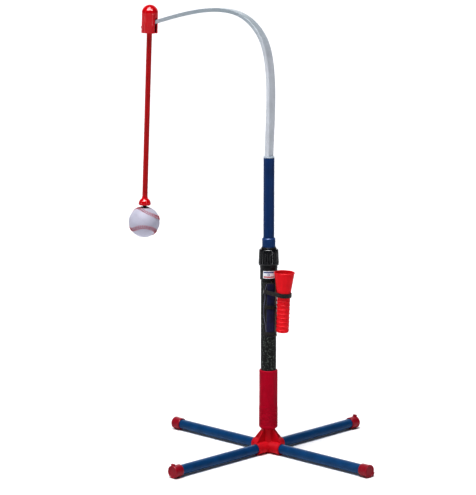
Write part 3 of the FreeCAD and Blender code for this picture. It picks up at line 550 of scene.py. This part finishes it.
def add_stitches(seam, orient, centre, up):
    """Red thread: a V over the seam for each pair of holes."""
    sides, rings = 7, 6
    reach, lead, radius = 5.0 * MM, 2.4 * MM, 0.75 * MM
    forward = np.roll(seam, -2, 0) - np.roll(seam, 2, 0)
    forward /= np.linalg.norm(forward, axis=1)[:, None]
    vertices, faces = [], []
    step = SEAM_POINTS // STITCHES
    for index in range(0, SEAM_POINTS, step):
        out = seam[index]
        if (orient @ out) @ up > math.cos(STITCH_FREE_REACH / BALL_RADIUS):
            continue
        ahead = forward[index]
        side = np.cross(out, ahead)
        for sign in (-1, 1):
            line = []
            for share in np.linspace(0, 1, rings):
                flat = out * BALL_RADIUS + side * sign * reach * share + ahead * lead * share
                lift = 0.34 * MM * math.sin(math.pi * share) ** 0.6 if 0 < share < 1 else -0.5 * MM
                flat = flat / np.linalg.norm(flat) * (BALL_RADIUS + lift)
                line.append(flat)
            line = np.array(line)
            base = len(vertices)
            for place, point in enumerate(line):
                before, after = line[max(place - 1, 0)], line[min(place + 1, rings - 1)]
                along = (after - before) / np.linalg.norm(after - before)
                outward = point / np.linalg.norm(point)
                across = np.cross(along, outward)
                across /= np.linalg.norm(across)
                raised = np.cross(across, along)
                size = radius * (0.75 if place in (0, rings - 1) else 1.0)
                for k in range(sides):
                    angle = 2 * math.pi * k / sides
                    rim = across * math.cos(angle) + raised * math.sin(angle) * 0.8
                    vertices.append(point + rim * size)
            for ring in range(rings - 1):
                for k in range(sides):
                    a = base + ring * sides + k
                    b = base + ring * sides + (k + 1) % sides
                    faces.append((a, b, b + sides, a + sides))
            faces.append([base + k for k in range(sides)][::-1])
            faces.append([base + (rings - 1) * sides + k for k in range(sides)])
    placed = np.array(vertices) @ orient.T + centre
    stitches = new_piece("ball_stitches", placed, faces, thread("red_thread", (178, 0, 36)))
    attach(stitches, "ball")


# ---------------------------------------------------------------- storage panel and straps

BACKING_RADIUS = 17.6 * MM
BACKING_THICKNESS = 0.9 * MM
BACKING_LEFT, BACKING_RIGHT = -128, 50      # azimuths in degrees
FACE_RADIUS = 18.55 * MM
FACE_THICKNESS = 0.7 * MM
FACE_LEFT, FACE_RIGHT = -105.0, -40.0
PIPING_LINE = [             # (azimuth in degrees, height in metres) of the loose piping
    (-105, 0.396), (-110, 0.389), (-116, 0.381), (-117, 0.370), (-116, 0.360), (-122, 0.352), (-126, 0.344),
    (-127.5, 0.334), (-126, 0.324), (-121, 0.315), (-116, 0.306), (-112, 0.297), (-109, 0.287), (-107, 0.275),
]
STRAP_HEIGHT = 8.6 * MM
STRAP_THICKNESS = 1.1 * MM
STRAP_RADIUS = 19.85 * MM   # middle of a strap over the panel's face
STRAP_LEFT, STRAP_RIGHT = -122, -26         # azimuths in degrees
STRAP_RAMP = 8              # degrees over which a strap drops to the backing
STRAP_LEVELS = {"strap_middle": 0.342, "strap_lower": 0.2805}
CUP_STRAP_LEVEL = 0.3785
CUP_STRAP_HEIGHT = 9.6 * MM
CUP_STRAP_TILT = math.radians(5.5)
CUP_STRAP_DROP = 4.2 * MM   # how much lower the strap is at the cup than at the pole
CUP_STRAP_POLE_RADIUS = 19.6 * MM
CUP_STRAP_START = -127      # azimuth in degrees
CUP_STRAP_LOOP_RADIUS = 17.55 * MM
CUP_FOOT = Vector((0.0311, -0.0275, 0.2874))
CUP_RIM = Vector((0.0349, -0.0315, 0.4257))


def polar(radius, degrees, level):
    """Point round the pole."""
    angle = math.radians(degrees)
    return Vector((radius * math.cos(angle), radius * math.sin(angle), level))


def ripple(a, b, seed):
    """Smooth small waves from -1 to 1 over two coordinates."""
    value = math.sin(1.7 * a + 0.9 * b + seed) + math.sin(-0.8 * a + 2.1 * b + 2.3 * seed)
    return (value + math.sin(3.1 * a + 1.3 * b + 4.1 * seed)) / 3


def wrapped_sheet(name, radius, thickness, left, right, low, high, material, relief, taper=0.0):
    """Closed thin cloth round the pole, with hemmed edges; relief(azimuth, level) lifts its outside."""
    columns = int((right - left) / 2.0)
    rows = int((high - low) / (1.6 * MM))
    vertices, faces = [], []
    for side in (0, 1):
        for j in range(rows + 1):
            level = low + (high - low) * j / rows
            shift = taper * max(0.0, (level - low) / (high - low) - 0.55)
            for i in range(columns + 1):
                share = i / columns
                azimuth = left + shift + (right - 1.3 * shift - left) * share
                rim = min(i, columns - i, j, rows - j)
                swell = (0.0, 0.75, 1.0)[min(rim, 2)] * thickness
                out = radius + side * swell * 0.85 + (relief(azimuth, level) if side and rim else 0.0)
                vertices.append(polar(out, azimuth, level))
    count = (rows + 1) * (columns + 1)
    for j in range(rows):
        for i in range(columns):
            a = j * (columns + 1) + i
            b, c, d = a + 1, a + columns + 2, a + columns + 1
            faces.append((a, d, c, b))
            faces.append((a + count, b + count, c + count, d + count))
    sheet = new_piece(name, vertices, faces, material)
    weld = bmesh.new()
    weld.from_mesh(sheet.data)
    bmesh.ops.remove_doubles(weld, verts=weld.verts, dist=0.01 * MM)
    weld.to_mesh(sheet.data)
    weld.free()
    return sheet


def tube_along(name, points, radius, material):
    """Round edge trim along points."""
    sides = 8
    vertices, faces = [], []
    points = [Vector(p) for p in points]
    for place, point in enumerate(points):
        before, after = points[max(place - 1, 0)], points[min(place + 1, len(points) - 1)]
        along = (after - before).normalized()
        outward = Vector((point.x, point.y, 0)).normalized()
        across = along.cross(outward).normalized()
        raised = across.cross(along)
        for k in range(sides):
            angle = 2 * math.pi * k / sides
            vertices.append(point + (across * math.cos(angle) + raised * math.sin(angle)) * radius)
    for ring in range(len(points) - 1):
        for k in range(sides):
            a, b = ring * sides + k, ring * sides + (k + 1) % sides
            faces.append((a, b, b + sides, a + sides))
    last = (len(points) - 1) * sides
    faces.append([k for k in range(sides)][::-1])
    faces.append([last + k for k in range(sides)])
    return new_piece(name, vertices, faces, material)


def smooth_line(points, count):
    """Evenly sampled smooth curve through (azimuth, height) points."""
    points = np.array(points, float)
    t = np.linspace(0, len(points) - 1, count)
    fine = np.stack([np.interp(t, range(len(points)), points[:, k]) for k in (0, 1)], 1)
    for _ in range(6):
        fine[1:-1] = (fine[:-2] + 2 * fine[1:-1] + fine[2:]) / 4
    return fine


def panel_relief(azimuth, level):
    """Puckers of the navy face, pressed in under the straps."""
    lift = 0.16 * MM * ripple(azimuth * 0.12, level * 160, 0.7)
    for strap in (*STRAP_LEVELS.values(), CUP_STRAP_LEVEL):
        lift -= 0.25 * MM * math.exp(-((level - strap) / 0.006) ** 2)
    return lift


def backing_relief(azimuth, level):
    """Loose black backing: a few creases left of the face, flat under it."""
    loose = 1.0 if azimuth < FACE_LEFT - 1 or azimuth > FACE_RIGHT + 1 else 0.0
    return loose * 0.16 * MM * ripple(azimuth * 0.15, level * 120, 2.1)


def add_stitch_row(name, points, material):
    """Row of short running stitches along points, as one piece."""
    length, gap, radius = 2.0 * MM, 1.1 * MM, 0.16 * MM
    points = [Vector(p) for p in points]
    vertices, faces = [], []
    travelled, start = 0.0, 0
    marks = [0.0]
    for a, b in zip(points, points[1:]):
        marks.append(marks[-1] + (b - a).length)
    while travelled + length < marks[-1]:
        ends = []
        for place in (travelled, travelled + length / 2, travelled + length):
            ends.append(Vector([np.interp(place, marks, [p[k] for p in points]) for k in range(3)]))
        outward = Vector((ends[1].x, ends[1].y, 0)).normalized()
        line = [ends[0] - outward * 0.1 * MM, ends[1] + outward * 0.18 * MM, ends[2] - outward * 0.1 * MM]
        along = (ends[2] - ends[0]).normalized()
        across = along.cross(outward).normalized()
        for point in line:
            for k in range(6):
                angle = math.pi * k / 3
                vertices.append(point + (across * math.cos(angle) + outward * math.sin(angle)) * radius)
        for ring in range(2):
            for k in range(6):
                a, b = start + ring * 6 + k, start + ring * 6 + (k + 1) % 6
                faces.append((a, b, b + 6, a + 6))
        start += 18
        travelled += length + gap
    return new_piece(name, vertices, faces, material)


def add_panel():
    """Navy face on a black backing, with loose piping and stitched edges."""
    low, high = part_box("panel_backing")
    black = woven("black_weave", (30, 29, 32), 0.9 * MM, 0.14 * MM)
    navy = woven("navy_weave", (27, 30, 74), 0.8 * MM, 0.12 * MM)
    backing = wrapped_sheet("panel_backing_cloth", BACKING_RADIUS, BACKING_THICKNESS,
                            BACKING_LEFT, BACKING_RIGHT, low.z, high.z, black, backing_relief)
    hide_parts("panel_backing")
    bottom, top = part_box("panel_face")
    face = wrapped_sheet("panel_face_cloth", FACE_RADIUS, FACE_THICKNESS, FACE_LEFT, FACE_RIGHT,
                         bottom.z, top.z, navy, panel_relief, taper=11.0)
    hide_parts("panel_face")
    grey = thread("piping_grey", (128, 130, 156))
    tan = thread("piping_tan", (176, 160, 128))
    loose = [polar(BACKING_RADIUS + 1.25 * MM, a, z) for a, z in smooth_line(PIPING_LINE, 90)]
    left_piping = tube_along("panel_piping_left", loose, 0.6 * MM, grey)
    right_line = []
    for k in range(41):
        azimuth = FACE_RIGHT + 3 + 1.5 * math.sin(k * 0.7)
        level = bottom.z + (top.z - bottom.z) * k / 40
        right_line.append(polar(BACKING_RADIUS + 1.2 * MM, azimuth, level))
    right_piping = tube_along("panel_piping_right", right_line, 0.75 * MM, tan)
    hem = []
    for name, level in (("panel_hem_top", high.z - 2.2 * MM), ("panel_hem_bottom", low.z + 1.6 * MM)):
        line = []
        for a in range(BACKING_LEFT + 1, BACKING_RIGHT, 3):
            line.append(polar(BACKING_RADIUS + 0.95 * MM, a, level + 0.3 * MM * math.sin(a)))
        hem.append(tube_along(name, line, 0.75 * MM, black))
    seams = []
    for name, azimuth in (("panel_stitches_left", FACE_LEFT + 4), ("panel_stitches_right", FACE_RIGHT - 4)):
        line = [polar(FACE_RADIUS + 0.62 * MM, azimuth, bottom.z + 3 * MM + k * 2.9 * MM) for k in range(41)]
        seams.append(add_stitch_row(name, line, thread(name + "_thread", (62, 66, 104))))
    for piece in [backing, face, left_piping, right_piping] + hem + seams:
        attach(piece, "base")


def band(name, centres, normals, height, thickness, material):
    """Flat elastic band on edge along a line, with rounded, slightly wavy edges."""
    profile = []
    for k in range(16):
        angle = 2 * math.pi * k / 16
        c, s = math.cos(angle), math.sin(angle)
        across = math.copysign(abs(c) ** 0.5, c) * thickness / 2
        up = math.copysign(abs(s) ** 0.35, s) * height / 2
        profile.append((across, up))
    vertices, faces = [], []
    for place, (centre, normal) in enumerate(zip(centres, normals)):
        swell = 1 + 0.03 * math.sin(place * 0.9) + 0.02 * math.sin(place * 2.3)
        for across, up in profile:
            vertices.append(centre + normal * across + Vector((0, 0, up * swell)))
    sides = len(profile)
    for ring in range(len(centres) - 1):
        for k in range(sides):
            a, b = ring * sides + k, ring * sides + (k + 1) % sides
            faces.append((a, b, b + sides, a + sides))
    last = (len(centres) - 1) * sides
    faces.append([k for k in range(sides)][::-1])
    faces.append([last + k for k in range(sides)])
    return new_piece(name, vertices, faces, material)


def add_plain_straps(material):
    """Two elastic bands over the face, dipping to the backing at their sewn ends."""
    for node, level in STRAP_LEVELS.items():
        centres, normals = [], []
        for azimuth in range(STRAP_LEFT, STRAP_RIGHT + 1, 2):
            rise = min(1.0, max(0.0, (azimuth - STRAP_LEFT - 9) / STRAP_RAMP))
            fall = min(1.0, max(0.0, (STRAP_RIGHT - 5 - azimuth) / STRAP_RAMP))
            over = rise * fall
            radius = STRAP_RADIUS - 0.75 * MM * (1 - over) + 0.08 * MM * math.sin(azimuth * 0.5)
            centres.append(polar(radius, azimuth, level + 0.25 * MM * math.sin(azimuth * 0.11)))
            normals.append(polar(1, azimuth, 0))
        strap = band(node + "_elastic", centres, normals, STRAP_HEIGHT, STRAP_THICKNESS, material)
        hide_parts(node)
        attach(strap, "base")


def cup_strap_line():
    """Centre line and outward normals of the strap round the stored cup."""
    share = (CUP_STRAP_LEVEL - CUP_STRAP_DROP - CUP_FOOT.z) / (CUP_RIM.z - CUP_FOOT.z)
    cup = CUP_FOOT.lerp(CUP_RIM, share)
    radius, loop = CUP_STRAP_POLE_RADIUS, CUP_STRAP_LOOP_RADIUS
    distance = math.hypot(cup.x, cup.y)
    heading = math.degrees(math.atan2(cup.y, cup.x))
    spread = math.degrees(math.acos((radius - loop) / distance))
    flat = []
    for azimuth in np.linspace(CUP_STRAP_START, heading - spread, 4):
        flat.append((polar(radius, azimuth, 0), azimuth))
    turns = np.linspace(heading - spread, heading + spread, 30)
    front_start = polar(radius, turns[0], 0)
    front_end = Vector((cup.x, cup.y, 0)) + polar(loop, turns[0], 0)
    for step in np.linspace(0.08, 0.94, 12):
        flat.append((front_start.lerp(front_end, step), turns[0]))
    for azimuth in turns:
        flat.append((Vector((cup.x, cup.y, 0)) + polar(loop, azimuth, 0), azimuth))
    back_start = Vector((cup.x, cup.y, 0)) + polar(loop, turns[-1], 0)
    back_end = polar(radius, turns[-1], 0)
    for step in np.linspace(0.06, 1.0, 12):
        flat.append((back_start.lerp(back_end, step), turns[-1]))
    ahead = Vector((cup.x, cup.y, 0)).normalized()
    centres, normals = [], []
    for point, azimuth in flat:
        reach = point.dot(ahead)
        sag = -reach * math.tan(CUP_STRAP_TILT)
        centres.append(Vector((point.x, point.y, CUP_STRAP_LEVEL + sag)))
        normals.append(polar(1, azimuth, 0))
    return centres, normals


def add_straps():
    """All three elastic straps."""
    material = elastic_weave("elastic_weave")
    add_plain_straps(material)
    centres, normals = cup_strap_line()
    strap = band("strap_upper_elastic", centres, normals, CUP_STRAP_HEIGHT, STRAP_THICKNESS, material)
    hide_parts("strap_upper")
    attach(strap, "base")


# ---------------------------------------------------------------- build

add_camera()
add_studio()
paint_frame()
soften(["base_hub"], 0.8 * MM)
soften(["end_cap_" + leg for leg in LEGS], 0.5 * MM)
soften(["twist_nut", "collar_body"], 0.4 * MM)
soften(["head_shell_front", "head_shell_rear"], 0.4 * MM)
add_ball()
add_panel()
add_straps()
